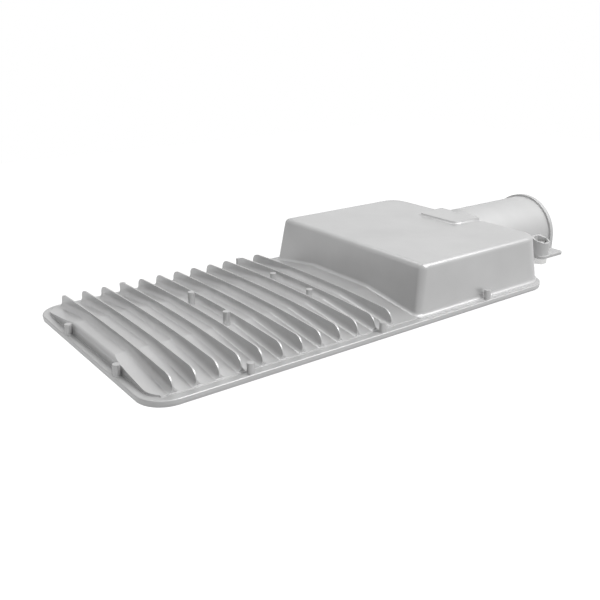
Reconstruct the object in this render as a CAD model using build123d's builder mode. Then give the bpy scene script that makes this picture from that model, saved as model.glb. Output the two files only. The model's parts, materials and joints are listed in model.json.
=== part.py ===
"""Pole-top head of a solar street light: a die-cast finned body with a gear box and a pole spigot.

Millimetres. The origin is the centre of the spigot's mouth, on the axis of the pole arm.
The arm leaves along +X, the lamp reaches along -X, and +Z is up.
"""
import os
from math import radians, tan

from build123d import *

# Flange of the cast body
FLANGE_LENGTH = 398.5
FLANGE_WIDTH = 210.0
FLANGE_THICKNESS = 3.0
FRONT_CORNER = 21.0
REAR_CORNER = 25.0
RIM_ROUND = 0.8
SPIGOT_REACH = 92.0
AXIS_HEIGHT = 14.7

# Crowned bed that carries the fins
LEDGE_FRONT = 5.7
LEDGE_SIDE = 6.9
BED_STEP = 0.6
BED_RISE = 8.6
PLATEAU_HALF_WIDTH = 36.3
BED_NOSE_ROUND = 3.5
BED_CORNER = 15.0

# Fins
FIN_COUNT = 12
FIN_PITCH = 17.1
FIRST_FIN = 20.4
FIN_END_HEIGHT = 12.0
FIN_CROWN = 2.7
FIN_ROOT = 2.7
FIN_DRAFT = 3.5
FIN_FLARE = 4.2
FLARE_DIP = 0.12
FIN_END_INSET = 0.9
FIN_END_ROUND = 9.3

# Gear box on the rear half of the bed
BOX_START = 236.0
BOX_REAR_INSET = 2.0
BOX_SIDE_INSET = 7.4
BOX_HEIGHT = 41.7
BOX_FRONT_RAKE = 7.0
BOX_REAR_RAKE = 6.5
BOX_SIDE_RAKE = 3.3
BOX_FRONT_CORNER = 6.0
BOX_REAR_CORNER = 18.0
BOX_TOP_ROUND = 5.0
BOX_FOOT_ROUND = 3.2
BOX_WALL = 3.0
BOX_REAR_WALL = 5.0

# Raised pad where the spigot runs onto the box
PAD_START = 355.5
PAD_HALF_WIDTH = 25.5
PAD_HEIGHT = 2.4
PAD_CORNER = 8.0
PAD_DRAFT = 10.0
PAD_EDGE = 2.0

# Spigot for the pole arm
BORE_RADIUS = 31.5
SPIGOT_WALL = 4.9
COLLAR_STEP = 1.9
COLLAR_WIDTH = 4.4
SPLIT_DROP = 11.5
BORE_DEPTH = 70.0
GLAND_ROOM_RADIUS = 26.0
GLAND_ROOM_DEPTH = 88.0

# Clamp ears of the spigot, their nut pockets and the clamp below
EAR_X = 27.5
EAR_Y = 43.8
EAR_RADIUS = 8.6
EAR_HEIGHT = 17.5
EAR_FALL = 4.5
POCKET_FLOOR = 5.0
POCKET_FIT = 0.15
BOLT_FIT = 0.4
CLAMP_LENGTH = 36.0
CLAMP_HALF_WIDTH = 53.5
CLAMP_PLATE = 2.6
CLAMP_STRAP = 3.6
CLAMP_CORNER = 6.0
CLAMP_RIB = 3.0
CLAMP_GUSSET = 9.0

# M8 clamp bolt, its washer and nut
M8_RADIUS = 4.0
M8_FLATS = 13.0
M8_HEAD = 5.3
M8_NUT = 6.5
M8_TIP = 2.0
WASHER_THICKNESS = 1.2
WASHER_RADIUS = 8.0

# Screw posts on the casting: distances from its front edge and its centreline
POST_RADIUS = 2.7
POST_HEIGHT = 8.0
POST_EDGE = 3.3
SIDE_POSTS = (76.0, 195.0, 314.5)
NOSE_POSTS = (38.0, -50.0)
FRONT_MODULE_POSTS = (17.0, -36.5)
REAR_MODULE_POSTS = (26.0, -26.0)
FRONT_MODULE_POST_HEIGHT = 19.4
REAR_MODULE_POST_HEIGHT = 15.6

# Small screws
M3_RADIUS = 1.5
M3_HEAD_RADIUS = 2.6
M3_PAN_HEAD = 1.8
M4_RADIUS = 2.0
M4_HEAD_RADIUS = 3.8
M4_PAN_HEAD = 2.2
SOCKET_RADIUS = 1.1
SOCKET_DEPTH = 0.9
SCREW_BITE = 8.0
SHORT_BITE = 5.0
HOLE_END = 0.6

# Clearances
SCREW_FIT = 0.1
FRAME_INSET = 0.3
COVER_GAP = 0.4
SEAL_FIT = 0.1
BOARD_GAP = 0.5

# Underside: frame round the lenses, gear cover, seals and bays
FRAME_THICKNESS = 1.6
FRAME_TO_BOX = 4.0
PLATE_CORNER = 1.0
SEAL_WIDTH = 3.0
SEAL_THICKNESS = 1.4
SEAL_INSET = 7.5
SEAL_FRONT_INSET = 9.0
SEAL_REAR_INSET = 3.4
SEAL_LAND = 4.5
COVER_SEAL_INSET = 3.9
SEAL_CORNER = 10.0
SEAL_REAR_CORNER = 22.0
BAY_DEPTH = 4.0
BAY_SIDE = 28.0
BAY_MARGIN = 4.0
BAY_CORNER = 6.0
LEAD_SLOT_WIDTH = 8.0
LEAD_SLOT_HEIGHT = 2.4

# LED modules: two lens plates side by side along the bay
LENS_START = 25.0
LENS_GAP = 2.0
LENS_PLATE = 2.4
LENS_CORNER = 4.0
LENS_RECESS = 0.9
LENS_LAP = 5.0
MODULE_SEAL_WIDTH = 4.0
BOARD_THICKNESS = 1.6
LED_SIZE = 3.5
LED_HEIGHT = 0.7
LED_COLUMNS = 4
LED_ROWS = 4
LED_COLUMN_PITCH = 23.0
LED_ROW_PITCH = 32.0
DOME_RADIUS = 6.5
DOME_HEIGHT = 4.0
DOME_DRAFT = 28.0
MODULE_SCREW_X = -23.0
MODULE_SCREW_Y = 32.0

# Gear bay: bosses, tray, battery, controller, terminals, gland and breather
COVER_BOSS_RADIUS = 4.4
COVER_BOSS_START = 252.3
COVER_BOSS_REAR_INSET = 24.0
COVER_BOSS_SIDE = 13.6
TRAY_BOSS_RADIUS = 4.0
TRAY_LIFT = 2.8
TRAY_THICKNESS = 1.2
TRAY_START = 250.0
TRAY_REAR_INSET = 13.0
TRAY_GAP = 2.6
TRAY_HOLE_INSET = 6.5
TRAY_HOLE_SIDE = 5.0
PACK_START = 254.0
PACK_LENGTH = 72.0
PACK_GAP = 2.0
PACK_HEIGHT = 33.0
PACK_ROUND = 6.0
STRAP_X = 290.0
STRAP_WIDTH = 16.0
STRAP_THICKNESS = 1.0
STRAP_FOOT = 9.0
CONTROLLER_START = 332.0
CONTROLLER_LENGTH = 52.0
CONTROLLER_HEIGHT = 24.0
CONTROLLER_ROUND = 2.0
CONTROLLER_EAR = 9.0
CONTROLLER_EAR_WIDTH = 16.0
CONTROLLER_EAR_THICKNESS = 2.0
TERMINAL_START = 330.5
TERMINAL_LENGTH = 16.0
TERMINAL_WIDTH = 22.0
TERMINAL_HEIGHT = 13.0
TERMINAL_GAP = 2.0
TERMINAL_MARGIN = 1.0
TERMINAL_WAYS = 4
TERMINAL_HOLE = 1.8
GLAND_BOSS_RADIUS = 13.0
GLAND_RISE = 3.0
GLAND_WALL = 4.0
GLAND_THREAD_RADIUS = 8.0
GLAND_FLATS = 20.0
GLAND_HEX = 5.0
GLAND_DOME = 10.0
GLAND_DOME_RADIUS = 9.0
GLAND_BORE_RADIUS = 4.0
GLAND_LOCKNUT = 3.0
GLAND_TAIL = 1.5
EARTH_X = 370.0
EARTH_Y = 63.0
EARTH_DROP = 8.0
BREATHER_X = 300.0
BREATHER_Y = 45.0
BREATHER_RADIUS = 6.0
BREATHER_CAP_RADIUS = 8.0
BREATHER_CAP = 3.0
BREATHER_NUT_FLATS = 14.0
BREATHER_NUT = 2.0

# Levels and stations that follow from the sizes above
front = -(SPIGOT_REACH + FLANGE_LENGTH)
rear = -SPIGOT_REACH
base = -AXIS_HEIGHT
seat = base + FRAME_THICKNESS
flange_top = seat + FLANGE_THICKNESS
half_width = FLANGE_WIDTH / 2
bed_edge = half_width - LEDGE_SIDE
bed_rim = flange_top + BED_STEP
plateau = flange_top + BED_RISE
box_top = flange_top + BOX_HEIGHT
ceiling = box_top - BOX_WALL
pad_top = box_top + PAD_HEIGHT
pad_end = rear - BOX_REAR_INSET - BOX_REAR_RAKE
bay_ceiling = seat + BAY_DEPTH
split = -SPLIT_DROP
spigot_radius = BORE_RADIUS + SPIGOT_WALL
collar_radius = spigot_radius + COLLAR_STEP
box_half = half_width - BOX_SIDE_INSET
ramp_slope = (plateau - bed_rim) / (bed_edge - PLATEAU_HALF_WIDTH)
frame_end = front + BOX_START - FRAME_TO_BOX
bay_start = front + LENS_START - BAY_MARGIN
bay_end = frame_end - 2 * SEAL_LAND
bay_half = half_width - BAY_SIDE
lens_length = (bay_end - front - LENS_START - BAY_MARGIN - LENS_GAP) / 2
lens_width = 2 * (bay_half - BAY_MARGIN)
module_middles = [front + LENS_START + lens_length * (0.5 + i) + LENS_GAP * i for i in range(2)]
post_y = half_width - POST_EDGE
front_module_posts = [(front + FIRST_FIN + FIN_PITCH * 4.5, y) for y in FRONT_MODULE_POSTS]
rear_module_posts = [(front + FIRST_FIN + FIN_PITCH * 9.5, y) for y in REAR_MODULE_POSTS]
nose_posts = [(front + POST_EDGE, y) for y in NOSE_POSTS]
side_posts = [(front + x, side * post_y) for x in SIDE_POSTS for side in (-1, 1)]
frame_screw_spots = nose_posts + side_posts[:4]
cover_boss_y = box_half - COVER_BOSS_SIDE
cover_bosses = [
    (x, side * cover_boss_y)
    for x in (front + COVER_BOSS_START, rear - COVER_BOSS_REAR_INSET)
    for side in (-1, 1)
]
cover_screw_spots = side_posts[4:] + cover_bosses
tray_top = seat + TRAY_LIFT + TRAY_THICKNESS
tray_start = front + TRAY_START
tray_end = rear - TRAY_REAR_INSET
tray_half = cover_boss_y - COVER_BOSS_RADIUS - TRAY_GAP
tray_hole_y = tray_half - TRAY_HOLE_SIDE
tray_holes = [
    (x, side * tray_hole_y)
    for x in (tray_start + TRAY_HOLE_INSET, tray_end - TRAY_HOLE_INSET)
    for side in (-1, 1)
]
board_level = bay_ceiling - BOARD_THICKNESS
lens_level = seat + LENS_PLATE
board_length = lens_length - 2 * (MODULE_SEAL_WIDTH + BOARD_GAP)
board_width = lens_width - 2 * (MODULE_SEAL_WIDTH + BOARD_GAP)
ear_spots = [(-EAR_X, side * EAR_Y) for side in (-1, 1)]
module_screw_spots = front_module_posts + rear_module_posts + [
    (x + MODULE_SCREW_X, side * MODULE_SCREW_Y) for x in module_middles for side in (-1, 1)
]
pack_width = 2 * (tray_hole_y - TRAY_BOSS_RADIUS - PACK_GAP)
controller_width = 2 * (tray_half - TERMINAL_MARGIN - TERMINAL_WIDTH - TERMINAL_GAP)
terminal_y = -(controller_width / 2 + TERMINAL_GAP + TERMINAL_WIDTH / 2)


def at(points, level):
    """The plan points raised to a level, as locations."""
    return [Location((x, y, level)) for x, y in points]


def hung(points, level):
    """The plan points at a level, turned so that a screw placed there points down."""
    return [Location((x, y, level), (180, 0, 0)) for x, y in points]


def rounded_plan(x0, x1, half, round0, round1):
    """A plan outline from x0 to x1 with round0 at its front corners and round1 at its rear ones."""
    with BuildSketch(mode=Mode.PRIVATE) as plan:
        with BuildLine():
            Polyline((x0, -half), (x1, -half), (x1, half), (x0, half), close=True)
        make_face()
        fillet(plan.vertices().group_by(Axis.X)[0], radius=round0)
        fillet(plan.vertices().group_by(Axis.X)[-1], radius=round1)
    return plan.sketch


def plate(outline, level, thickness):
    """A flat plate of the outline, its lower face at the level."""
    with BuildPart() as piece:
        with BuildSketch(Plane.XY.offset(level)):
            add(outline)
        extrude(amount=thickness)
    return piece.part


def screw(shank_radius, head_radius, head_height, length):
    """A pan-head screw that points up, with the origin at the middle of the face under its head."""
    with BuildPart() as piece:
        with BuildSketch(Plane.XY):
            Circle(head_radius)
        extrude(amount=-head_height)
        with BuildSketch(Plane.XY):
            Circle(shank_radius)
        extrude(amount=length)
    return piece.part


def sunk_screw(shank_radius, length):
    """A countersunk screw that points up, with the origin at the middle of its flat head."""
    with BuildPart() as piece:
        with BuildSketch(Plane.XZ):
            with BuildLine():
                Polyline(
                    (0, 0),
                    (M3_HEAD_RADIUS, 0),
                    (shank_radius, M3_HEAD_RADIUS - shank_radius),
                    (shank_radius, length),
                    (0, length),
                    close=True,
                )
            make_face()
        revolve(axis=Axis.Z)
    return piece.part


# Fins: one crowned block, cut into fins by flared valleys that follow the bed
valley_end = bed_edge + 10.0
valley_low = plateau - ramp_slope * (valley_end - PLATEAU_HALF_WIDTH) - FLARE_DIP
valley_depth = FIN_END_HEIGHT + BED_RISE
valley_half = (FIN_PITCH - FIN_ROOT) / 2
fin_end = bed_edge - FIN_END_INSET
fin_shoulder = flange_top + FIN_END_HEIGHT

with BuildPart() as valley:
    with BuildLine(Plane.YZ) as valley_path:
        Polyline(
            (-valley_end, valley_low),
            (-PLATEAU_HALF_WIDTH, plateau - FLARE_DIP),
            (PLATEAU_HALF_WIDTH, plateau - FLARE_DIP),
            (valley_end, valley_low),
        )
    with BuildSketch(Plane(origin=valley_path.line @ 0, x_dir=(-1, 0, 0), z_dir=valley_path.line % 0)) as cut:
        Trapezoid(
            2 * valley_half + 2 * valley_depth * tan(radians(FIN_DRAFT)),
            valley_depth,
            90 + FIN_DRAFT,
            rotation=180,
            align=(Align.CENTER, Align.MAX),
        )
        fillet(cut.vertices().group_by(Axis.Z)[0], radius=FIN_FLARE)
    sweep(path=valley_path.line, transition=Transition.RIGHT)

with BuildPart() as fins:
    with BuildSketch(Plane.YZ.offset(front + FIRST_FIN - FIN_PITCH / 2)) as fin_outline:
        with BuildLine():
            crown = ThreePointArc(
                (-fin_end, fin_shoulder),
                (0, fin_shoulder + FIN_CROWN),
                (fin_end, fin_shoulder),
            )
            Polyline(crown @ 1, (fin_end, seat + 1.0), (-fin_end, seat + 1.0), crown @ 0)
        make_face()
        fillet(fin_outline.vertices().group_by(Axis.Y)[-1], radius=FIN_END_ROUND)
    extrude(amount=FIN_PITCH * FIN_COUNT)
    with Locations(*[(front + FIRST_FIN + FIN_PITCH * (i - 0.5), 0, 0) for i in range(FIN_COUNT + 1)]):
        add(valley.part, mode=Mode.SUBTRACT)


def cavity_plan(level):
    """The outline of the gear bay at a level, inside the box's raked walls."""
    rise = (level - flange_top) / BOX_HEIGHT
    return rounded_plan(
        front + BOX_START + BOX_FRONT_RAKE * rise + BOX_WALL,
        rear - BOX_REAR_INSET - BOX_REAR_RAKE * rise - BOX_REAR_WALL,
        box_half - BOX_SIDE_RAKE * rise - BOX_WALL,
        BOX_FRONT_CORNER - BOX_WALL,
        BOX_REAR_CORNER,
    )


# Gear box with raked walls, rounded over at the top
with BuildPart() as box:
    with BuildSketch(Plane.XZ):
        with BuildLine():
            Polyline(
                (front + BOX_START, flange_top),
                (front + BOX_START + BOX_FRONT_RAKE, box_top),
                (pad_end, box_top),
                (rear - BOX_REAR_INSET, flange_top),
                close=True,
            )
        make_face()
    extrude(amount=half_width, both=True)
    with BuildSketch(Plane.YZ.offset(front)):
        with BuildLine():
            Polyline(
                (-box_half, flange_top),
                (BOX_SIDE_RAKE - box_half, box_top),
                (box_half - BOX_SIDE_RAKE, box_top),
                (box_half, flange_top),
                close=True,
            )
        make_face()
    extrude(amount=FLANGE_LENGTH, mode=Mode.INTERSECT)
    for corner_edges, radius in ((slice(-2, None), BOX_REAR_CORNER), (slice(0, 2), BOX_FRONT_CORNER)):
        uprights = box.edges().filter_by(lambda edge: abs(edge.tangent_at(0.5).Z) > 0.5)
        fillet(uprights.sort_by(Axis.X)[corner_edges], radius=radius)
    fillet(box.faces().sort_by(Axis.Z)[-1].edges(), radius=BOX_TOP_ROUND)

with BuildPart() as cavity:
    with BuildSketch(Plane.XY.offset(seat)):
        add(cavity_plan(seat))
    with BuildSketch(Plane.XY.offset(ceiling)):
        add(cavity_plan(ceiling))
    loft(ruled=True)

# Crowned bed with the box on it: a flat plateau, a ramp down to each long edge and a round nose
ramp_end = half_width + 2 * BOX_FOOT_ROUND
ramp_low = plateau - ramp_slope * (ramp_end - PLATEAU_HALF_WIDTH)

with BuildPart() as bed:
    with BuildSketch(Plane.YZ.offset(front + LEDGE_FRONT)):
        with BuildLine():
            Polyline(
                (-ramp_end, seat + 1.0),
                (-ramp_end, ramp_low),
                (-PLATEAU_HALF_WIDTH, plateau),
                (PLATEAU_HALF_WIDTH, plateau),
                (ramp_end, ramp_low),
                (ramp_end, seat + 1.0),
                close=True,
            )
        make_face()
    extrude(amount=FLANGE_LENGTH + BOX_FOOT_ROUND)
    nose = bed.edges().group_by(Axis.X)[0].group_by(Axis.Z)[-1]
    fillet(nose, radius=BED_NOSE_ROUND)
    add(box.part)
    fillet(bed.edges(Select.NEW), radius=BOX_FOOT_ROUND)
    with BuildSketch(Plane.XY.offset(seat)):
        bed_rear = rear - RIM_ROUND
        bed_rear_corner = REAR_CORNER - RIM_ROUND
        flare = box_half + BOX_FOOT_ROUND
        add(rounded_plan(front + LEDGE_FRONT, bed_rear, bed_edge, BED_CORNER, bed_rear_corner))
        add(rounded_plan(front + BOX_START, bed_rear, flare, BOX_FOOT_ROUND, bed_rear_corner))
    extrude(amount=2 * BOX_HEIGHT, mode=Mode.INTERSECT)


def arch(radius, low):
    """A section that is round above the arm's axis and runs straight down to a low level."""
    with BuildSketch(mode=Mode.PRIVATE) as section:
        with BuildLine():
            top = ThreePointArc((-radius, 0), (0, radius), (radius, 0))
            Polyline(top @ 1, (radius, low), (-radius, low), top @ 0)
        make_face()
    return section.sketch


with BuildPart() as ear:
    with BuildSketch(Plane.XY.offset(split)):
        with Locations(ear_spots[1]):
            Circle(EAR_RADIUS)
            Rectangle(2 * EAR_RADIUS, EAR_Y - BORE_RADIUS - 1.0, align=(Align.CENTER, Align.MAX))
    extrude(amount=EAR_HEIGHT)
    with BuildSketch(Plane.YZ.offset(-EAR_X - EAR_RADIUS)):
        with BuildLine():
            Polyline(
                (BORE_RADIUS, split),
                (BORE_RADIUS, split + EAR_HEIGHT),
                (spigot_radius, split + EAR_HEIGHT),
                (EAR_Y + EAR_RADIUS, split + EAR_HEIGHT - EAR_FALL),
                (EAR_Y + EAR_RADIUS, split),
                close=True,
            )
        make_face()
    extrude(amount=2 * EAR_RADIUS, mode=Mode.INTERSECT)


def ring(x0, x1, half, width, corner0, corner1):
    """A flat ring whose centre line runs from x0 to x1 and out to half on both sides."""
    with BuildSketch(mode=Mode.PRIVATE) as outline:
        add(rounded_plan(x0 - width / 2, x1 + width / 2, half + width / 2, corner0, corner1))
        hole = rounded_plan(x0 + width / 2, x1 - width / 2, half - width / 2, corner0 - width, corner1 - width)
        add(hole, mode=Mode.SUBTRACT)
    return outline.sketch


def frame_seal(width):
    """The outline of the seal round the lens bay."""
    half = half_width - SEAL_INSET
    return ring(front + SEAL_FRONT_INSET, frame_end - SEAL_LAND, half, width, SEAL_CORNER, SEAL_CORNER)


def cover_seal(width):
    """The outline of the seal round the gear bay."""
    half = half_width - SEAL_INSET
    seal_rear = rear - SEAL_REAR_INSET
    return ring(frame_end + COVER_SEAL_INSET, seal_rear, half, width, SEAL_CORNER, SEAL_REAR_CORNER)


# Cast housing: flange, bed, fins, gear box, pad, spigot, ears and screw posts in one piece
with BuildPart() as housing:
    with BuildSketch(Plane.XY.offset(seat)):
        add(rounded_plan(front, rear, half_width, FRONT_CORNER, REAR_CORNER))
    extrude(amount=FLANGE_THICKNESS)
    fillet(housing.faces().sort_by(Axis.Z)[-1].edges(), radius=RIM_ROUND)
    add(bed.part)
    add(fins.part)
    with BuildSketch(Plane.XY.offset(box_top - BOX_WALL)):
        add(rounded_plan(front + PAD_START, pad_end, PAD_HALF_WIDTH, PAD_CORNER, PAD_EDGE))
    extrude(amount=BOX_WALL + PAD_HEIGHT, taper=PAD_DRAFT)
    with BuildSketch(Plane.YZ.offset(pad_end - BOX_REAR_WALL)):
        add(arch(pad_top, split))
    with BuildSketch(Plane.YZ.offset(pad_end)):
        add(arch(spigot_radius, split))
    loft(ruled=True)
    with BuildSketch(Plane.YZ.offset(pad_end)):
        add(arch(spigot_radius, split))
    extrude(amount=-pad_end)
    with BuildSketch(Plane.YZ.offset(-COLLAR_WIDTH)):
        add(arch(collar_radius, split))
    extrude(amount=COLLAR_WIDTH)
    add(ear.part)
    add(mirror(ear.part, about=Plane.XZ))
    for spots, height in (
        (nose_posts + side_posts, POST_HEIGHT),
        (front_module_posts, FRONT_MODULE_POST_HEIGHT),
        (rear_module_posts, REAR_MODULE_POST_HEIGHT),
    ):
        with BuildSketch(Plane.XY.offset(seat + 1.0)):
            with Locations(*spots):
                Circle(POST_RADIUS)
        extrude(amount=flange_top + height - seat - 1.0)
    add(cavity.part, mode=Mode.SUBTRACT)
    with BuildSketch(Plane.YZ.offset(-GLAND_ROOM_DEPTH)):
        add(arch(GLAND_ROOM_RADIUS, -2 * BORE_RADIUS))
    extrude(amount=GLAND_ROOM_DEPTH, mode=Mode.SUBTRACT)
    with BuildSketch(Plane.YZ.offset(-BORE_DEPTH)):
        add(arch(BORE_RADIUS, -2 * BORE_RADIUS))
    extrude(amount=BORE_DEPTH, mode=Mode.SUBTRACT)
    with BuildSketch(Plane.XY.offset(seat)):
        add(rounded_plan(bay_start, bay_end, bay_half, BAY_CORNER, BAY_CORNER))
    extrude(amount=BAY_DEPTH, mode=Mode.SUBTRACT)
    with BuildSketch(Plane.XY.offset(bay_ceiling)):
        with Locations((bay_end - BAY_CORNER, bay_half - BAY_CORNER)):
            slot_length = frame_end - bay_end + 3 * BAY_CORNER
            Rectangle(slot_length, LEAD_SLOT_WIDTH, align=(Align.MIN, Align.MAX))
    extrude(amount=-LEAD_SLOT_HEIGHT, mode=Mode.SUBTRACT)
    with BuildSketch(Plane.XY.offset(seat)):
        add(frame_seal(SEAL_WIDTH + 2 * SEAL_FIT))
        add(cover_seal(SEAL_WIDTH + 2 * SEAL_FIT))
    extrude(amount=SEAL_THICKNESS, mode=Mode.SUBTRACT)
    with BuildSketch(Plane.XY.offset(seat)):
        with Locations(*cover_bosses):
            Circle(COVER_BOSS_RADIUS)
    extrude(amount=ceiling - seat)
    with BuildSketch(Plane.XY.offset(tray_top)):
        with Locations(*tray_holes):
            Circle(TRAY_BOSS_RADIUS)
    extrude(amount=ceiling - tray_top)
    with BuildSketch(Plane.XY.offset(ceiling - EARTH_DROP)):
        with Locations((front + EARTH_X, EARTH_Y)):
            Circle(TRAY_BOSS_RADIUS)
    extrude(amount=EARTH_DROP)
    with BuildSketch(Plane.YZ.offset(-GLAND_ROOM_DEPTH - GLAND_WALL)):
        with Locations((0, GLAND_RISE)):
            Circle(GLAND_BOSS_RADIUS)
    extrude(amount=-GLAND_BOSS_RADIUS, mode=Mode.SUBTRACT)
    with BuildSketch(Plane.YZ.offset(-GLAND_ROOM_DEPTH)):
        with Locations((0, GLAND_RISE)):
            Circle(GLAND_THREAD_RADIUS + SCREW_FIT)
    extrude(amount=-2 * GLAND_WALL, mode=Mode.SUBTRACT)
    for spots, level, radius, bite in (
        (frame_screw_spots + cover_screw_spots, seat, M3_RADIUS, SCREW_BITE),
        (module_screw_spots, bay_ceiling, M3_RADIUS, SHORT_BITE),
        (tray_holes, tray_top, M4_RADIUS, SCREW_BITE),
        ([(front + EARTH_X, EARTH_Y)], ceiling - EARTH_DROP, M4_RADIUS, SHORT_BITE),
    ):
        with BuildSketch(Plane.XY.offset(level)):
            with Locations(*spots):
                Circle(radius + SCREW_FIT)
        extrude(amount=bite + HOLE_END, mode=Mode.SUBTRACT)
    with BuildSketch(Plane.XY.offset(split + POCKET_FLOOR)):
        with Locations(*ear_spots):
            RegularPolygon(M8_FLATS / 2 + POCKET_FIT, 6, major_radius=False)
    extrude(amount=EAR_HEIGHT, mode=Mode.SUBTRACT)
    with BuildSketch(Plane.XY.offset(split)):
        with Locations(*ear_spots):
            Circle(M8_RADIUS + BOLT_FIT)
    extrude(amount=EAR_HEIGHT, mode=Mode.SUBTRACT)

# Clamp under the spigot: a flat plate on the ears and a strap that closes round the pole arm
with BuildPart() as pole_clamp:
    with BuildSketch(Plane.YZ.offset(-CLAMP_LENGTH)):
        Circle(BORE_RADIUS + CLAMP_STRAP)
        with Locations((0, split)):
            Rectangle(4 * BORE_RADIUS, 4 * BORE_RADIUS, align=(Align.CENTER, Align.MIN), mode=Mode.SUBTRACT)
            Rectangle(2 * CLAMP_HALF_WIDTH, CLAMP_PLATE, align=(Align.CENTER, Align.MAX))
        Circle(BORE_RADIUS, mode=Mode.SUBTRACT)
    extrude(amount=CLAMP_LENGTH)
    for x in (-CLAMP_LENGTH / 2, -CLAMP_RIB):
        with BuildSketch(Plane.YZ.offset(x)) as gusset:
            with BuildLine():
                Polyline(
                    (BORE_RADIUS - CLAMP_STRAP, split - CLAMP_GUSSET),
                    (BORE_RADIUS - CLAMP_STRAP, split - CLAMP_PLATE / 2),
                    (CLAMP_HALF_WIDTH - CLAMP_CORNER, split - CLAMP_PLATE / 2),
                    (CLAMP_HALF_WIDTH - CLAMP_CORNER, split - CLAMP_PLATE),
                    close=True,
                )
            make_face()
            mirror(about=Plane.YZ)
            Circle(BORE_RADIUS + CLAMP_STRAP / 2, mode=Mode.SUBTRACT)
        extrude(amount=CLAMP_RIB)
    fillet(pole_clamp.edges().filter_by(Axis.Z).filter_by(lambda e: abs(e.center().Y) > EAR_Y), CLAMP_CORNER)
    with BuildSketch(Plane.XY.offset(split)):
        with Locations(*ear_spots):
            Circle(M8_RADIUS + BOLT_FIT)
    extrude(amount=-CLAMP_PLATE, mode=Mode.SUBTRACT)

washer_top = split - CLAMP_PLATE
head_top = washer_top - WASHER_THICKNESS
nut_seat = split + POCKET_FLOOR

with BuildPart() as clamp_washers:
    with BuildSketch(Plane.XY.offset(head_top)):
        with Locations(*ear_spots):
            Circle(WASHER_RADIUS)
            Circle(M8_RADIUS + BOLT_FIT, mode=Mode.SUBTRACT)
    extrude(amount=WASHER_THICKNESS)

with BuildPart() as clamp_bolts:
    with BuildSketch(Plane.XY.offset(head_top)):
        with Locations(*ear_spots):
            RegularPolygon(M8_FLATS / 2, 6, major_radius=False)
    extrude(amount=-M8_HEAD)
    with BuildSketch(Plane.XY.offset(head_top)):
        with Locations(*ear_spots):
            Circle(M8_RADIUS)
    extrude(amount=nut_seat + M8_NUT + M8_TIP - head_top)

with BuildPart() as clamp_nuts:
    with BuildSketch(Plane.XY.offset(nut_seat)):
        with Locations(*ear_spots):
            RegularPolygon(M8_FLATS / 2, 6, major_radius=False)
            Circle(M8_RADIUS + SCREW_FIT, mode=Mode.SUBTRACT)
    extrude(amount=M8_NUT)

# Frame round the lenses, its seal and its countersunk screws
with BuildPart() as optic_frame:
    with BuildSketch(Plane.XY.offset(base)):
        half = half_width - FRAME_INSET
        add(rounded_plan(front + FRAME_INSET, frame_end, half, FRONT_CORNER - FRAME_INSET, PLATE_CORNER))
        with Locations(*[(x, 0) for x in module_middles]):
            window_length = lens_length - 2 * LENS_LAP
            window_width = lens_width - 2 * LENS_LAP
            RectangleRounded(window_length, window_width, LENS_CORNER, mode=Mode.SUBTRACT)
    extrude(amount=FRAME_THICKNESS)
    with Locations(*at(frame_screw_spots, base)):
        add(sunk_screw(M3_RADIUS + SCREW_FIT, FRAME_THICKNESS), mode=Mode.SUBTRACT)

with BuildPart() as frame_screws:
    with Locations(*at(frame_screw_spots, base)):
        add(sunk_screw(M3_RADIUS, FRAME_THICKNESS + SCREW_BITE))
    with BuildSketch(Plane.XY.offset(base)):
        with Locations(*frame_screw_spots):
            RegularPolygon(SOCKET_RADIUS, 6)
    extrude(amount=SOCKET_DEPTH, mode=Mode.SUBTRACT)

frame_gasket = plate(frame_seal(SEAL_WIDTH), seat, SEAL_THICKNESS)

# Cover of the gear bay, its seal and its screws
with BuildPart() as gear_cover:
    with BuildSketch(Plane.XY.offset(base)):
        corner = REAR_CORNER - FRAME_INSET
        add(rounded_plan(frame_end + COVER_GAP, rear - FRAME_INSET, half, PLATE_CORNER, corner))
        with Locations((front + BREATHER_X, BREATHER_Y)):
            Circle(BREATHER_RADIUS + SCREW_FIT, mode=Mode.SUBTRACT)
    extrude(amount=FRAME_THICKNESS)
    with Locations(*at(cover_screw_spots, base)):
        add(sunk_screw(M3_RADIUS + SCREW_FIT, FRAME_THICKNESS), mode=Mode.SUBTRACT)

with BuildPart() as cover_screws:
    with Locations(*at(cover_screw_spots, base)):
        add(sunk_screw(M3_RADIUS, FRAME_THICKNESS + SCREW_BITE))
    with BuildSketch(Plane.XY.offset(base)):
        with Locations(*cover_screw_spots):
            RegularPolygon(SOCKET_RADIUS, 6)
    extrude(amount=SOCKET_DEPTH, mode=Mode.SUBTRACT)

gear_gasket = plate(cover_seal(SEAL_WIDTH), seat, SEAL_THICKNESS)

# Breather valve through the cover, held by a nut inside
with BuildPart() as breather_valve:
    with BuildSketch(Plane.XY.offset(base)):
        with Locations((front + BREATHER_X, BREATHER_Y)):
            Circle(BREATHER_CAP_RADIUS)
    extrude(amount=-BREATHER_CAP)
    chamfer(breather_valve.faces().sort_by(Axis.Z)[0].edges(), length=1.0)
    with BuildSketch(Plane.XY.offset(base)):
        with Locations((front + BREATHER_X, BREATHER_Y)):
            Circle(BREATHER_RADIUS)
    extrude(amount=FRAME_THICKNESS + BREATHER_NUT)

with BuildPart() as breather_nut:
    with BuildSketch(Plane.XY.offset(seat)):
        with Locations((front + BREATHER_X, BREATHER_Y)):
            RegularPolygon(BREATHER_NUT_FLATS / 2, 6, major_radius=False)
            Circle(BREATHER_RADIUS + SCREW_FIT, mode=Mode.SUBTRACT)
    extrude(amount=BREATHER_NUT)


def module_screws_of(module):
    """The screws of LED module 0 or 1: two under its posts on the casting and two at its other end."""
    posts = (front_module_posts, rear_module_posts)[module]
    x = module_middles[module] + MODULE_SCREW_X
    return posts + [(x, side * MODULE_SCREW_Y) for side in (-1, 1)]


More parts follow.
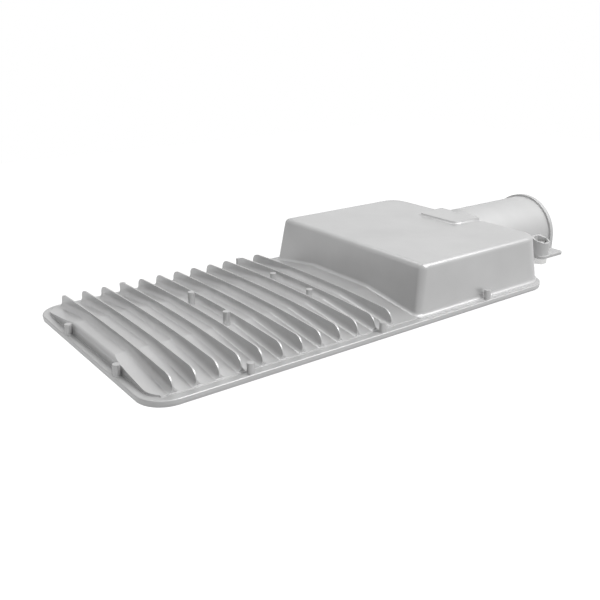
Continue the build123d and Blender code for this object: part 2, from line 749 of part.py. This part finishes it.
def lens(module):
    """Lens plate of a module: pockets over the LEDs above, a domed optic under each one."""
    x = module_middles[module]
    with BuildPart() as piece:
        with BuildSketch(Plane.XY.offset(seat)):
            with Locations((x, 0)):
                RectangleRounded(lens_length, lens_width, LENS_CORNER)
            with Locations(*module_screws_of(module)):
                Circle(M3_RADIUS + SCREW_FIT, mode=Mode.SUBTRACT)
        extrude(amount=LENS_PLATE)
        with BuildSketch(Plane.XY.offset(lens_level)):
            with Locations((x, 0)):
                with GridLocations(LED_COLUMN_PITCH, LED_ROW_PITCH, LED_COLUMNS, LED_ROWS):
                    Rectangle(LED_SIZE + LENS_RECESS, LED_SIZE + LENS_RECESS)
        extrude(amount=-LENS_RECESS, mode=Mode.SUBTRACT)
        with BuildSketch(Plane.XY.offset(seat)):
            with Locations((x, 0)):
                with GridLocations(LED_COLUMN_PITCH, LED_ROW_PITCH, LED_COLUMNS, LED_ROWS):
                    Circle(DOME_RADIUS)
        extrude(amount=-DOME_HEIGHT, taper=DOME_DRAFT)
    return piece.part


def led_board(module):
    """Circuit board of a module, flat against the ceiling of the bay."""
    with BuildPart() as piece:
        with BuildSketch(Plane.XY.offset(board_level)):
            with Locations((module_middles[module], 0)):
                Rectangle(board_length, board_width)
            with Locations(*module_screws_of(module)):
                Circle(M3_RADIUS + SCREW_FIT, mode=Mode.SUBTRACT)
        extrude(amount=BOARD_THICKNESS)
    return piece.part


def leds(module):
    """LED packages under a board."""
    with BuildPart() as piece:
        with BuildSketch(Plane.XY.offset(board_level)):
            with Locations((module_middles[module], 0)):
                with GridLocations(LED_COLUMN_PITCH, LED_ROW_PITCH, LED_COLUMNS, LED_ROWS):
                    Rectangle(LED_SIZE, LED_SIZE)
        extrude(amount=-LED_HEIGHT)
    return piece.part


def lens_seal(module):
    """Seal between a lens plate and the ceiling of the bay, round the board."""
    with BuildPart() as piece:
        with BuildSketch(Plane.XY.offset(lens_level)):
            with Locations((module_middles[module], 0)):
                RectangleRounded(lens_length, lens_width, LENS_CORNER)
                inner_length = lens_length - 2 * MODULE_SEAL_WIDTH
                inner_width = lens_width - 2 * MODULE_SEAL_WIDTH
                Rectangle(inner_length, inner_width, mode=Mode.SUBTRACT)
        extrude(amount=BOARD_THICKNESS)
    return piece.part


with BuildPart() as module_screws:
    with Locations(*at(module_screw_spots, seat)):
        add(screw(M3_RADIUS, M3_HEAD_RADIUS, M3_PAN_HEAD, LENS_PLATE + BOARD_THICKNESS + SHORT_BITE))

# Tray of the gear bay, hung from four bosses
pack_middle = front + PACK_START + PACK_LENGTH / 2
controller_middle = front + CONTROLLER_START + CONTROLLER_LENGTH / 2
strap_screw_y = pack_width / 2 + STRAP_THICKNESS + STRAP_FOOT / 2
strap_screw_spots = [(front + STRAP_X, side * strap_screw_y) for side in (-1, 1)]
ear_screw_y = controller_width / 2 + CONTROLLER_EAR / 2
ear_screw_spots = [(controller_middle, side * ear_screw_y) for side in (-1, 1)]

with BuildPart() as gear_tray:
    with BuildSketch(Plane.XY.offset(tray_top - TRAY_THICKNESS)):
        add(rounded_plan(tray_start, tray_end, tray_half, PLATE_CORNER, PLATE_CORNER))
        with Locations(*tray_holes):
            Circle(M4_RADIUS + SCREW_FIT, mode=Mode.SUBTRACT)
        with Locations(*(strap_screw_spots + ear_screw_spots)):
            Circle(M3_RADIUS + SCREW_FIT, mode=Mode.SUBTRACT)
    extrude(amount=TRAY_THICKNESS)

with BuildPart() as tray_screws:
    with Locations(*at(tray_holes, tray_top - TRAY_THICKNESS)):
        add(screw(M4_RADIUS, M4_HEAD_RADIUS, M4_PAN_HEAD, TRAY_THICKNESS + SCREW_BITE))

# Battery pack on the tray under its strap
with BuildPart() as battery_pack:
    with BuildSketch(Plane.XY.offset(tray_top)):
        with Locations((pack_middle, 0)):
            RectangleRounded(PACK_LENGTH, pack_width, PACK_ROUND)
    extrude(amount=PACK_HEIGHT)

with BuildPart() as battery_strap:
    with BuildSketch(Plane.YZ.offset(front + STRAP_X - STRAP_WIDTH / 2)):
        with Locations((0, tray_top)):
            strap_width = pack_width + 2 * STRAP_THICKNESS
            Rectangle(strap_width, PACK_HEIGHT + STRAP_THICKNESS, align=(Align.CENTER, Align.MIN))
            Rectangle(strap_width + 2 * STRAP_FOOT, STRAP_THICKNESS, align=(Align.CENTER, Align.MIN))
            Rectangle(pack_width, PACK_HEIGHT, align=(Align.CENTER, Align.MIN), mode=Mode.SUBTRACT)
    extrude(amount=STRAP_WIDTH)
    with BuildSketch(Plane.XY.offset(tray_top)):
        with Locations(*strap_screw_spots):
            Circle(M3_RADIUS + SCREW_FIT)
    extrude(amount=STRAP_THICKNESS, mode=Mode.SUBTRACT)

with BuildPart() as strap_screws:
    with Locations(*hung(strap_screw_spots, tray_top + STRAP_THICKNESS)):
        add(screw(M3_RADIUS, M3_HEAD_RADIUS, M3_PAN_HEAD, STRAP_THICKNESS + 2 * TRAY_THICKNESS))

# Charge controller and terminal block on the tray
with BuildPart() as charge_controller:
    with BuildSketch(Plane.XY.offset(tray_top)):
        with Locations((controller_middle, 0)):
            RectangleRounded(CONTROLLER_LENGTH, controller_width, CONTROLLER_ROUND)
    extrude(amount=CONTROLLER_HEIGHT)
    chamfer(charge_controller.faces().sort_by(Axis.Z)[-1].edges(), length=CONTROLLER_ROUND / 2)
    with BuildSketch(Plane.XY.offset(tray_top)):
        with Locations((controller_middle, 0)):
            Rectangle(CONTROLLER_EAR_WIDTH, controller_width + 2 * CONTROLLER_EAR)
        with Locations(*ear_screw_spots):
            Circle(M3_RADIUS + SCREW_FIT, mode=Mode.SUBTRACT)
    extrude(amount=CONTROLLER_EAR_THICKNESS)

with BuildPart() as controller_screws:
    with Locations(*hung(ear_screw_spots, tray_top + CONTROLLER_EAR_THICKNESS)):
        add(screw(M3_RADIUS, M3_HEAD_RADIUS, M3_PAN_HEAD, CONTROLLER_EAR_THICKNESS + 2 * TRAY_THICKNESS))

with BuildPart() as terminal_block:
    with BuildSketch(Plane.XY.offset(tray_top)):
        with Locations((front + TERMINAL_START, terminal_y)):
            Rectangle(TERMINAL_LENGTH, TERMINAL_WIDTH, align=(Align.MIN, Align.CENTER))
    extrude(amount=TERMINAL_HEIGHT)
    with BuildSketch(Plane.YZ.offset(front + TERMINAL_START)):
        with Locations((terminal_y, tray_top + TERMINAL_HEIGHT / 3)):
            with GridLocations(TERMINAL_WIDTH / TERMINAL_WAYS, 1, TERMINAL_WAYS, 1):
                Circle(TERMINAL_HOLE)
    extrude(amount=TERMINAL_LENGTH / 2, mode=Mode.SUBTRACT)

with BuildPart() as earth_screw:
    with Locations(*at([(front + EARTH_X, EARTH_Y)], ceiling - EARTH_DROP)):
        add(screw(M4_RADIUS, M4_HEAD_RADIUS, M4_PAN_HEAD, SHORT_BITE))

# Cable gland through the wall between the spigot and the gear bay
with BuildPart() as cable_gland:
    with BuildSketch(Plane.YZ.offset(-GLAND_ROOM_DEPTH)):
        with Locations((0, GLAND_RISE)):
            RegularPolygon(GLAND_FLATS / 2, 6, major_radius=False)
    extrude(amount=GLAND_HEX)
    with BuildSketch(Plane.YZ.offset(GLAND_HEX - GLAND_ROOM_DEPTH)):
        with Locations((0, GLAND_RISE)):
            Circle(GLAND_DOME_RADIUS)
    extrude(amount=GLAND_DOME)
    chamfer(cable_gland.faces().sort_by(Axis.X)[-1].edges(), length=GLAND_DOME_RADIUS / 4)
    with BuildSketch(Plane.YZ.offset(-GLAND_ROOM_DEPTH)):
        with Locations((0, GLAND_RISE)):
            Circle(GLAND_THREAD_RADIUS)
    extrude(amount=-GLAND_WALL - GLAND_LOCKNUT - GLAND_TAIL)
    with BuildSketch(Plane.YZ.offset(-GLAND_ROOM_DEPTH - 2 * GLAND_BOSS_RADIUS)):
        with Locations((0, GLAND_RISE)):
            Circle(GLAND_BORE_RADIUS)
    extrude(amount=4 * GLAND_BOSS_RADIUS, mode=Mode.SUBTRACT)

with BuildPart() as gland_nut:
    with BuildSketch(Plane.YZ.offset(-GLAND_ROOM_DEPTH - GLAND_WALL)):
        with Locations((0, GLAND_RISE)):
            RegularPolygon(GLAND_FLATS / 2, 6, major_radius=False)
            Circle(GLAND_THREAD_RADIUS + SCREW_FIT, mode=Mode.SUBTRACT)
    extrude(amount=-GLAND_LOCKNUT)

front_lens = lens(0)
rear_lens = lens(1)
front_led_board = led_board(0)
rear_led_board = led_board(1)
front_leds = leds(0)
rear_leds = leds(1)
front_lens_seal = lens_seal(0)
rear_lens_seal = lens_seal(1)

os.makedirs("parts", exist_ok=True)

housing.part.label = "housing"
export_step(housing.part, "parts/housing.step")
pole_clamp.part.label = "pole_clamp"
export_step(pole_clamp.part, "parts/pole_clamp.step")
clamp_washers.part.label = "clamp_washers"
export_step(clamp_washers.part, "parts/clamp_washers.step")
clamp_bolts.part.label = "clamp_bolts"
export_step(clamp_bolts.part, "parts/clamp_bolts.step")
clamp_nuts.part.label = "clamp_nuts"
export_step(clamp_nuts.part, "parts/clamp_nuts.step")
optic_frame.part.label = "optic_frame"
export_step(optic_frame.part, "parts/optic_frame.step")
frame_screws.part.label = "frame_screws"
export_step(frame_screws.part, "parts/frame_screws.step")
gear_cover.part.label = "gear_cover"
export_step(gear_cover.part, "parts/gear_cover.step")
cover_screws.part.label = "cover_screws"
export_step(cover_screws.part, "parts/cover_screws.step")
breather_valve.part.label = "breather_valve"
export_step(breather_valve.part, "parts/breather_valve.step")
breather_nut.part.label = "breather_nut"
export_step(breather_nut.part, "parts/breather_nut.step")
module_screws.part.label = "module_screws"
export_step(module_screws.part, "parts/module_screws.step")
gear_tray.part.label = "gear_tray"
export_step(gear_tray.part, "parts/gear_tray.step")
tray_screws.part.label = "tray_screws"
export_step(tray_screws.part, "parts/tray_screws.step")
battery_pack.part.label = "battery_pack"
export_step(battery_pack.part, "parts/battery_pack.step")
battery_strap.part.label = "battery_strap"
export_step(battery_strap.part, "parts/battery_strap.step")
strap_screws.part.label = "strap_screws"
export_step(strap_screws.part, "parts/strap_screws.step")
charge_controller.part.label = "charge_controller"
export_step(charge_controller.part, "parts/charge_controller.step")
controller_screws.part.label = "controller_screws"
export_step(controller_screws.part, "parts/controller_screws.step")
terminal_block.part.label = "terminal_block"
export_step(terminal_block.part, "parts/terminal_block.step")
earth_screw.part.label = "earth_screw"
export_step(earth_screw.part, "parts/earth_screw.step")
cable_gland.part.label = "cable_gland"
export_step(cable_gland.part, "parts/cable_gland.step")
gland_nut.part.label = "gland_nut"
export_step(gland_nut.part, "parts/gland_nut.step")
frame_gasket.label = "frame_gasket"
export_step(frame_gasket, "parts/frame_gasket.step")
gear_gasket.label = "gear_gasket"
export_step(gear_gasket, "parts/gear_gasket.step")
front_lens.label = "front_lens"
export_step(front_lens, "parts/front_lens.step")
rear_lens.label = "rear_lens"
export_step(rear_lens, "parts/rear_lens.step")
front_led_board.label = "front_led_board"
export_step(front_led_board, "parts/front_led_board.step")
rear_led_board.label = "rear_led_board"
export_step(rear_led_board, "parts/rear_led_board.step")
front_leds.label = "front_leds"
export_step(front_leds, "parts/front_leds.step")
rear_leds.label = "rear_leds"
export_step(rear_leds, "parts/rear_leds.step")
front_lens_seal.label = "front_lens_seal"
export_step(front_lens_seal, "parts/front_lens_seal.step")
rear_lens_seal.label = "rear_lens_seal"
export_step(rear_lens_seal, "parts/rear_lens_seal.step")
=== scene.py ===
import json
from math import cos, pi, radians, sin

import bmesh
import bpy
from mathutils import Matrix, Vector


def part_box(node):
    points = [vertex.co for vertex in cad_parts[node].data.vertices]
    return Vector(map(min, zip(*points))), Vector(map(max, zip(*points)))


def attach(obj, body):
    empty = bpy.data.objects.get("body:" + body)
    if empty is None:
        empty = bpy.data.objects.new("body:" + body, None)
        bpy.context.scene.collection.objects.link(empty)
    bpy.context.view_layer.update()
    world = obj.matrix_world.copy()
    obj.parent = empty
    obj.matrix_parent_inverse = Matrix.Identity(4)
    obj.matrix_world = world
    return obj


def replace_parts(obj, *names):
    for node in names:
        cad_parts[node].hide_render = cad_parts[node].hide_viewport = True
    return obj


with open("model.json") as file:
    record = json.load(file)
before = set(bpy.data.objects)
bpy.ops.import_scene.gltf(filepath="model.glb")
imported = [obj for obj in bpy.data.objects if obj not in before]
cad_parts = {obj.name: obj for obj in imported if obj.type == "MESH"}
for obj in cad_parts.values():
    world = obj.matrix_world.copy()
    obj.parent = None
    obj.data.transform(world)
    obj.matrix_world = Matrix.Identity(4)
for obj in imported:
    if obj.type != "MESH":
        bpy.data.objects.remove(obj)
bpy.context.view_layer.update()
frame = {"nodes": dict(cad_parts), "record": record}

# Camera of the photograph, solved from the flange, the fins and the gear box
CAMERA = Vector((-0.6597, -0.4880, 0.2115))
FORWARD = Vector((0.5584, 0.7531, -0.348))
RIGHT = Vector((0.8026, -0.5966, -0.0032))
FOCAL_PX = 753.65
IMAGE_PX = 600
SENSOR_MM = 36.0
CLIP_NEAR = 0.01
CLIP_FAR = 20

# Textures: the part of a noise's range in use, gloss patches to a colour patch, heights and samples
IN_USE = (0.3, 0.7)
GLOSS_PATCHES = 2.3
BUMP_HEIGHT = 0.0002
EDGE_SAMPLES = 6

# The spigot and its ears keep the rougher skin of the mould: where it starts along X, and by how much
SPIGOT_SKIN = (-0.108, -0.092)
SKIN_ROUGHNESS = 0.30

# Lens plates: a round dome over each LED, four columns by four rows a plate
LENS_PLATE = 0.0024
LENS_CORNER = 0.004
DOME_RADIUS = 0.0068
DOME_RINGS = 8
DOME_COUNT = 4
PITCH_X = 0.023
PITCH_Y = 0.032
AROUND = 32
MERGE = 1e-6

# Fillet at the foot of the pad on the gear box, which fades out where the pad meets the spigot
PAD_FRONT = -0.1345
PAD_SIDE = 0.02495
PAD_CORNER = 0.0075
PAD_REAR = -0.1062
CORNER_STEPS = 9
BOX_TOP = 0.0316
FOOT = 0.0024
FOOT_STEPS = 7
FOOT_FADE = 0.004
FADE_STEPS = 4
FADE_END = 0.08
FOOT_LAP = 0.0004
FOOT_LIFT = 0.00002
FOOT_BURIED = 0.001

# Studio
FLOOR_Z = -0.9
FLOOR_HALF = 6.0
AMBIENT = 0.165


def node_material(name, color, roughness, metallic=0.0):
    """A new material with its Principled shader, ready for texture nodes."""
    material = bpy.data.materials.new(name)
    material.use_nodes = True
    tree = material.node_tree
    shader = tree.nodes["Principled BSDF"]
    shader.inputs["Base Color"].default_value = (*color, 1.0)
    shader.inputs["Roughness"].default_value = roughness
    shader.inputs["Metallic"].default_value = metallic
    return material, tree, shader


def noise(tree, scale, detail=2.0, roughness=0.5):
    """Noise in the object's own metres."""
    place = tree.nodes.new("ShaderNodeTexCoord")
    texture = tree.nodes.new("ShaderNodeTexNoise")
    texture.inputs["Scale"].default_value = scale
    texture.inputs["Detail"].default_value = detail
    texture.inputs["Roughness"].default_value = roughness
    tree.links.new(place.outputs["Object"], texture.inputs["Vector"])
    return texture.outputs["Fac"]


def ramp(tree, source, low, high):
    """Maps a noise to a colour between two colours."""
    node = tree.nodes.new("ShaderNodeValToRGB")
    for element, position, color in zip(node.color_ramp.elements, IN_USE, (low, high)):
        element.position = position
        element.color = (*color, 1.0)
    tree.links.new(source, node.inputs["Fac"])
    return node.outputs["Color"]


def span(tree, source, low, high, at=IN_USE):
    """Maps a value to a number between low and high."""
    node = tree.nodes.new("ShaderNodeMapRange")
    node.inputs["From Min"].default_value = at[0]
    node.inputs["From Max"].default_value = at[1]
    node.inputs["To Min"].default_value = low
    node.inputs["To Max"].default_value = high
    tree.links.new(source, node.inputs["Value"])
    return node.outputs["Result"]


def combine(tree, operation, first, second, clamp=False):
    """Two values joined by a Math node."""
    node = tree.nodes.new("ShaderNodeMath")
    node.operation = operation
    node.use_clamp = clamp
    tree.links.new(first, node.inputs[0])
    tree.links.new(second, node.inputs[1])
    return node.outputs["Value"]


def bump(tree, shader, source, strength, edge_radius=0.0):
    """Bump from a height, over edges rounded by edge_radius."""
    node = tree.nodes.new("ShaderNodeBump")
    node.inputs["Strength"].default_value = strength
    node.inputs["Distance"].default_value = BUMP_HEIGHT
    tree.links.new(source, node.inputs["Height"])
    if edge_radius:
        edge = tree.nodes.new("ShaderNodeBevel")
        edge.samples = EDGE_SAMPLES
        edge.inputs["Radius"].default_value = edge_radius
        tree.links.new(edge.outputs["Normal"], node.inputs["Normal"])
    tree.links.new(node.outputs["Normal"], shader.inputs["Normal"])


def mottled(name, low, high, roughness, metallic, patch, grain, grain_strength, edge_radius=0.0):
    """A surface with slow colour patches, uneven gloss and a fine grain."""
    material, tree, shader = node_material(name, high, roughness[0], metallic)
    color = ramp(tree, noise(tree, patch, 3.0), low, high)
    gloss = span(tree, noise(tree, patch * GLOSS_PATCHES, 4.0), *roughness)
    tree.links.new(color, shader.inputs["Base Color"])
    tree.links.new(gloss, shader.inputs["Roughness"])
    bump(tree, shader, noise(tree, grain, 4.0, 0.6), grain_strength, edge_radius)
    return material


def roughen_spigot(material):
    """Adds the mould's skin to the roughness of the cast body, from SPIGOT_SKIN on."""
    tree = material.node_tree
    roughness = tree.nodes["Principled BSDF"].inputs["Roughness"]
    place = tree.nodes.new("ShaderNodeTexCoord")
    axes = tree.nodes.new("ShaderNodeSeparateXYZ")
    tree.links.new(place.outputs["Object"], axes.inputs["Vector"])
    skin = span(tree, axes.outputs["X"], 0.0, SKIN_ROUGHNESS, SPIGOT_SKIN)
    total = combine(tree, "ADD", roughness.links[0].from_socket, skin)
    tree.links.new(total, roughness)


def clear_optic():
    """Clear plastic, a little wavy from the mould, that lets the lamps light what lies behind it."""
    material, tree, shader = node_material("clear_optic", (0.97, 0.98, 0.98), 0.04)
    shader.inputs["Transmission Weight"].default_value = 1.0
    shader.inputs["IOR"].default_value = 1.49
    color = ramp(tree, noise(tree, 40), (0.95, 0.96, 0.96), (0.98, 0.99, 0.99))
    gloss = span(tree, noise(tree, 70, 3.0), 0.02, 0.07)
    tree.links.new(color, shader.inputs["Base Color"])
    tree.links.new(gloss, shader.inputs["Roughness"])
    bump(tree, shader, noise(tree, 300), 0.06)
    path = tree.nodes.new("ShaderNodeLightPath")
    passing = combine(tree, "MAXIMUM", path.outputs["Is Shadow Ray"], path.outputs["Is Diffuse Ray"])
    transparent = tree.nodes.new("ShaderNodeBsdfTransparent")
    either = tree.nodes.new("ShaderNodeMixShader")
    tree.links.new(passing, either.inputs["Fac"])
    tree.links.new(shader.outputs["BSDF"], either.inputs[1])
    tree.links.new(transparent.outputs["BSDF"], either.inputs[2])
    tree.links.new(either.outputs["Shader"], tree.nodes["Material Output"].inputs["Surface"])
    return material


cast = mottled(
    "cast_silver", (0.59, 0.59, 0.59), (0.64, 0.64, 0.64), (0.33, 0.40),
    metallic=0.35, patch=22, grain=1600, grain_strength=0.2, edge_radius=0.0004,
)
roughen_spigot(cast)
plate = mottled(
    "plate_silver", (0.575, 0.577, 0.58), (0.605, 0.607, 0.61), (0.34, 0.42),
    metallic=0.35, patch=9, grain=1300, grain_strength=0.14, edge_radius=0.0003,
)
steel = mottled(
    "bright_steel", (0.50, 0.50, 0.50), (0.62, 0.62, 0.61), (0.22, 0.34),
    metallic=1.0, patch=60, grain=2400, grain_strength=0.15, edge_radius=0.0004,
)
zinc = mottled(
    "zinc_steel", (0.45, 0.46, 0.47), (0.62, 0.62, 0.62), (0.3, 0.45),
    metallic=1.0, patch=90, grain=1500, grain_strength=0.12,
)
rubber = mottled(
    "seal_rubber", (0.012, 0.012, 0.012), (0.03, 0.03, 0.03), (0.6, 0.8),
    metallic=0.0, patch=80, grain=2500, grain_strength=0.3,
)
board = mottled(
    "board_white", (0.74, 0.74, 0.71), (0.80, 0.80, 0.77), (0.35, 0.5),
    metallic=0.0, patch=40, grain=2500, grain_strength=0.08,
)
phosphor = mottled(
    "led_phosphor", (0.75, 0.55, 0.10), (0.86, 0.68, 0.18), (0.3, 0.45),
    metallic=0.0, patch=300, grain=3000, grain_strength=0.1,
)
wrap = mottled(
    "battery_wrap", (0.02, 0.06, 0.20), (0.03, 0.09, 0.28), (0.28, 0.4),
    metallic=0.0, patch=30, grain=900, grain_strength=0.1,
)
black = mottled(
    "black_plastic", (0.012, 0.012, 0.013), (0.028, 0.028, 0.03), (0.4, 0.6),
    metallic=0.0, patch=60, grain=1800, grain_strength=0.25,
)
ivory = mottled(
    "ivory_plastic", (0.55, 0.54, 0.50), (0.66, 0.65, 0.61), (0.4, 0.55),
    metallic=0.0, patch=60, grain=1800, grain_strength=0.15,
)

# The finish of each material slot of the record
FINISH = {
    "cast_body": cast,
    "plate_aluminium": plate,
    "bright_steel": steel,
    "zinc_steel": zinc,
    "seal_rubber": rubber,
    "board": board,
    "led_phosphor": phosphor,
    "battery_wrap": wrap,
    "controller_case": black,
    "terminal_plastic": ivory,
    "gland_plastic": black,
    "clear_lens": clear_optic(),
}
for part in frame["record"]["subparts"]:
    mesh = frame["nodes"][part["node"]].data
    mesh.materials.clear()
    mesh.materials.append(FINISH[part["material_slot"]])


def finish_piece(name, mesh_data, slot, sharp=radians(35)):
    """Turns a bmesh into a piece of the lamp head, smooth but for its sharp edges."""
    mesh = bpy.data.meshes.new(name)
    bmesh.ops.recalc_face_normals(mesh_data, faces=mesh_data.faces)
    mesh_data.to_mesh(mesh)
    mesh_data.free()
    mesh.shade_smooth()
    mesh.set_sharp_from_angle(angle=sharp)
    piece = bpy.data.objects.new(name, mesh)
    bpy.context.collection.objects.link(piece)
    mesh.materials.append(FINISH[slot])
    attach(piece, "root")
    return piece


def cell_edge(k):
    """Point k of AROUND on the border of a cell from -1 to 1, from the middle of its +X side."""
    side, along = divmod((k + AROUND // 8) % AROUND, AROUND // 4)
    t = along / (AROUND // 8) - 1
    return ((1, t), (-t, 1), (-1, -t), (t, -1))[side]


def dome_cell(data, x0, y0, tip_z, face_z):
    """One cell of a lens plate's underside: a dome down to tip_z in a flat field at face_z."""
    tip = data.verts.new((x0, y0, tip_z))
    inner = None
    for ring in range(1, DOME_RINGS + 2):
        tilt = pi / 2 * ring / DOME_RINGS
        verts = []
        for k in range(AROUND):
            if ring <= DOME_RINGS:
                turn = 2 * pi * k / AROUND
                reach = DOME_RADIUS * sin(tilt)
                z = face_z - (face_z - tip_z) * cos(tilt)
                spot = (x0 + reach * cos(turn), y0 + reach * sin(turn), z)
            else:
                edge_x, edge_y = cell_edge(k)
                spot = (x0 + edge_x * PITCH_X / 2, y0 + edge_y * PITCH_Y / 2, face_z)
            verts.append(data.verts.new(spot))
        for k in range(AROUND):
            after = (k + 1) % AROUND
            if inner is None:
                data.faces.new((tip, verts[k], verts[after]))
            else:
                data.faces.new((inner[k], verts[k], verts[after], inner[after]))
        inner = verts


def lens_plate(name, node):
    """A clear plate with domes below, as large as the node it stands for."""
    low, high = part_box(node)
    cx, cy = (low[0] + high[0]) / 2, (low[1] + high[1]) / 2
    half_x, half_y = (high[0] - low[0]) / 2, (high[1] - low[1]) / 2
    face_z = high[2] - LENS_PLATE
    middle = (DOME_COUNT - 1) / 2
    data = bmesh.new()
    for column in range(DOME_COUNT):
        for row in range(DOME_COUNT):
            x0, y0 = cx + (column - middle) * PITCH_X, cy + (row - middle) * PITCH_Y
            dome_cell(data, x0, y0, low[2], face_z)
    bmesh.ops.remove_doubles(data, verts=data.verts, dist=MERGE)

    # The rim: the cells' border, stretched to the node's outline with round corners, and up to its top
    grid_x, grid_y = DOME_COUNT * PITCH_X / 2, DOME_COUNT * PITCH_Y / 2
    flat_x, flat_y = half_x - LENS_CORNER, half_y - LENS_CORNER
    rim, top = {}, {}
    border = [edge for edge in data.edges if edge.is_boundary]
    for vert in [vert for vert in data.verts if vert.is_boundary]:
        x, y = (vert.co.x - cx) * half_x / grid_x, (vert.co.y - cy) * half_y / grid_y
        if abs(x) > flat_x and abs(y) > flat_y:
            corner = Vector((flat_x if x > 0 else -flat_x, flat_y if y > 0 else -flat_y))
            x, y = corner + (Vector((x, y)) - corner).normalized() * LENS_CORNER
        rim[vert] = data.verts.new((cx + x, cy + y, face_z))
        top[vert] = data.verts.new((cx + x, cy + y, high[2]))
    for edge in border:
        a, b = edge.verts
        data.faces.new((a, b, rim[b], rim[a]))
        data.faces.new((rim[a], rim[b], top[b], top[a]))
    top_edges = [data.edges.get([top[vert] for vert in edge.verts]) for edge in border]
    bmesh.ops.edgeloop_fill(data, edges=top_edges)
    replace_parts(finish_piece(name, data, "clear_lens"), node)


def pad_path():
    """Points on the pad's outline from one rear end to the other, each with the way out."""
    fade = [PAD_REAR - FOOT_FADE * i / FADE_STEPS for i in range(FADE_STEPS + 1)]
    points = [((x, -PAD_SIDE), (0, -1)) for x in fade]
    for corner_y, first in ((PAD_CORNER - PAD_SIDE, 0), (PAD_SIDE - PAD_CORNER, 90)):
        for step in range(CORNER_STEPS + 1):
            turn = radians(first + 90 * step / CORNER_STEPS)
            out_x, out_y = -sin(turn), -cos(turn)
            x, y = PAD_FRONT + PAD_CORNER * (1 + out_x), corner_y + PAD_CORNER * out_y
            points.append(((x, y), (out_x, out_y)))
    points += [((x, PAD_SIDE), (0, 1)) for x in reversed(fade)]
    return points


def foot_section(size):
    """The foot's section as pairs of reach and height: a hollow arc, closed below the surfaces."""
    section = []
    for step in range(FOOT_STEPS + 1):
        turn = radians(90) * step / FOOT_STEPS
        reach = size * (1 - cos(turn)) - FOOT_LAP * (1 - step / FOOT_STEPS)
        section.append((reach, size * (1 - sin(turn)) + FOOT_LIFT))
    return section + [(size, -FOOT_BURIED), (-FOOT_BURIED, -FOOT_BURIED), (-FOOT_BURIED, size)]


def pad_foot():
    """The fillet along the pad's outline."""
    data = bmesh.new()
    previous = None
    for (x, y), (out_x, out_y) in pad_path():
        size = FOOT * min(1.0, max(FADE_END, (PAD_REAR - x) / FOOT_FADE))
        ring = [
            data.verts.new((x + reach * out_x, y + reach * out_y, BOX_TOP + height))
            for reach, height in foot_section(size)
        ]
        if previous:
            for k in range(len(ring)):
                after = (k + 1) % len(ring)
                data.faces.new((previous[k], ring[k], ring[after], previous[after]))
        else:
            data.faces.new(ring)
        previous = ring
    data.faces.new(previous)
    finish_piece("pad_foot", data, "cast_body")


lens_plate("front_optics", "front_lens")
lens_plate("rear_optics", "rear_lens")
pad_foot()

# Camera
camera_data = bpy.data.cameras.new("camera")
camera_data.sensor_width = SENSOR_MM
camera_data.lens = FOCAL_PX / IMAGE_PX * SENSOR_MM
camera_data.clip_start = CLIP_NEAR
camera_data.clip_end = CLIP_FAR
camera = bpy.data.objects.new("camera", camera_data)
bpy.context.collection.objects.link(camera)
back = -FORWARD.normalized()
right = (RIGHT - RIGHT.dot(back) * back).normalized()
up = back.cross(right)
camera.matrix_world = Matrix((
    (right.x, up.x, back.x, CAMERA.x),
    (right.y, up.y, back.y, CAMERA.y),
    (right.z, up.z, back.z, CAMERA.z),
    (0, 0, 0, 1),
))
bpy.context.scene.camera = camera


def background_rays(tree):
    """1 for the rays that look at the background: from the camera, a reflection or a clear piece."""
    path = tree.nodes.new("ShaderNodeLightPath")
    total = path.outputs["Is Camera Ray"]
    for name in ("Is Glossy Ray", "Is Transmission Ray"):
        total = combine(tree, "ADD", total, path.outputs[name], clamp=True)
    return total


# Floor: well below the lamp head, pale, and white where a background ray meets it
floor_mesh = bpy.data.meshes.new("floor")
corners = ((-1, -1), (1, -1), (1, 1), (-1, 1))
floor_mesh.from_pydata([(x * FLOOR_HALF, y * FLOOR_HALF, FLOOR_Z) for x, y in corners], [], [(0, 1, 2, 3)])
floor = bpy.data.objects.new("floor", floor_mesh)
bpy.context.collection.objects.link(floor)
floor_paint = mottled(
    "floor_paint", (0.78, 0.78, 0.78), (0.80, 0.80, 0.80), (0.8, 0.9),
    metallic=0.0, patch=2, grain=60, grain_strength=0.02,
)
floor_tree = floor_paint.node_tree
floor_shader = floor_tree.nodes["Principled BSDF"]
floor_shader.inputs["Specular IOR Level"].default_value = 0.0
floor_shader.inputs["Emission Color"].default_value = (1, 1, 1, 1)
floor_tree.links.new(background_rays(floor_tree), floor_shader.inputs["Emission Strength"])
floor_mesh.materials.append(floor_paint)

# World: a dim even studio that background rays see white
world = bpy.data.worlds.new("studio")
world.use_nodes = True
backdrop = world.node_tree.nodes["Background"]
backdrop.inputs["Color"].default_value = (1, 1, 1, 1)
level = span(world.node_tree, background_rays(world.node_tree), AMBIENT, 1.0, (0.0, 1.0))
world.node_tree.links.new(level, backdrop.inputs["Strength"])
bpy.context.scene.world = world


def softbox(name, place, aim, size, power):
    """A rectangular lamp at a place, turned to an aim point."""
    data = bpy.data.lights.new(name, "AREA")
    data.shape = "RECTANGLE"
    data.size, data.size_y = size
    data.energy = power
    lamp = bpy.data.objects.new(name, data)
    bpy.context.collection.objects.link(lamp)
    lamp.location = place
    lamp.rotation_euler = (Vector(aim) - Vector(place)).to_track_quat("-Z", "Y").to_euler()


softbox("top", place=(0.04, -0.66, 1.12), aim=(-0.15, 0, 0), size=(0.46, 1.0), power=9.6)
softbox("rim", place=(0.58, -0.58, 1.04), aim=(-0.10, 0, 0), size=(0.60, 0.50), power=4.4)
softbox("back", place=(-0.22, 0.55, 1.05), aim=(-0.22, 0, 0), size=(0.44, 0.30), power=1.3)

bpy.context.scene.view_settings.view_transform = "Standard"
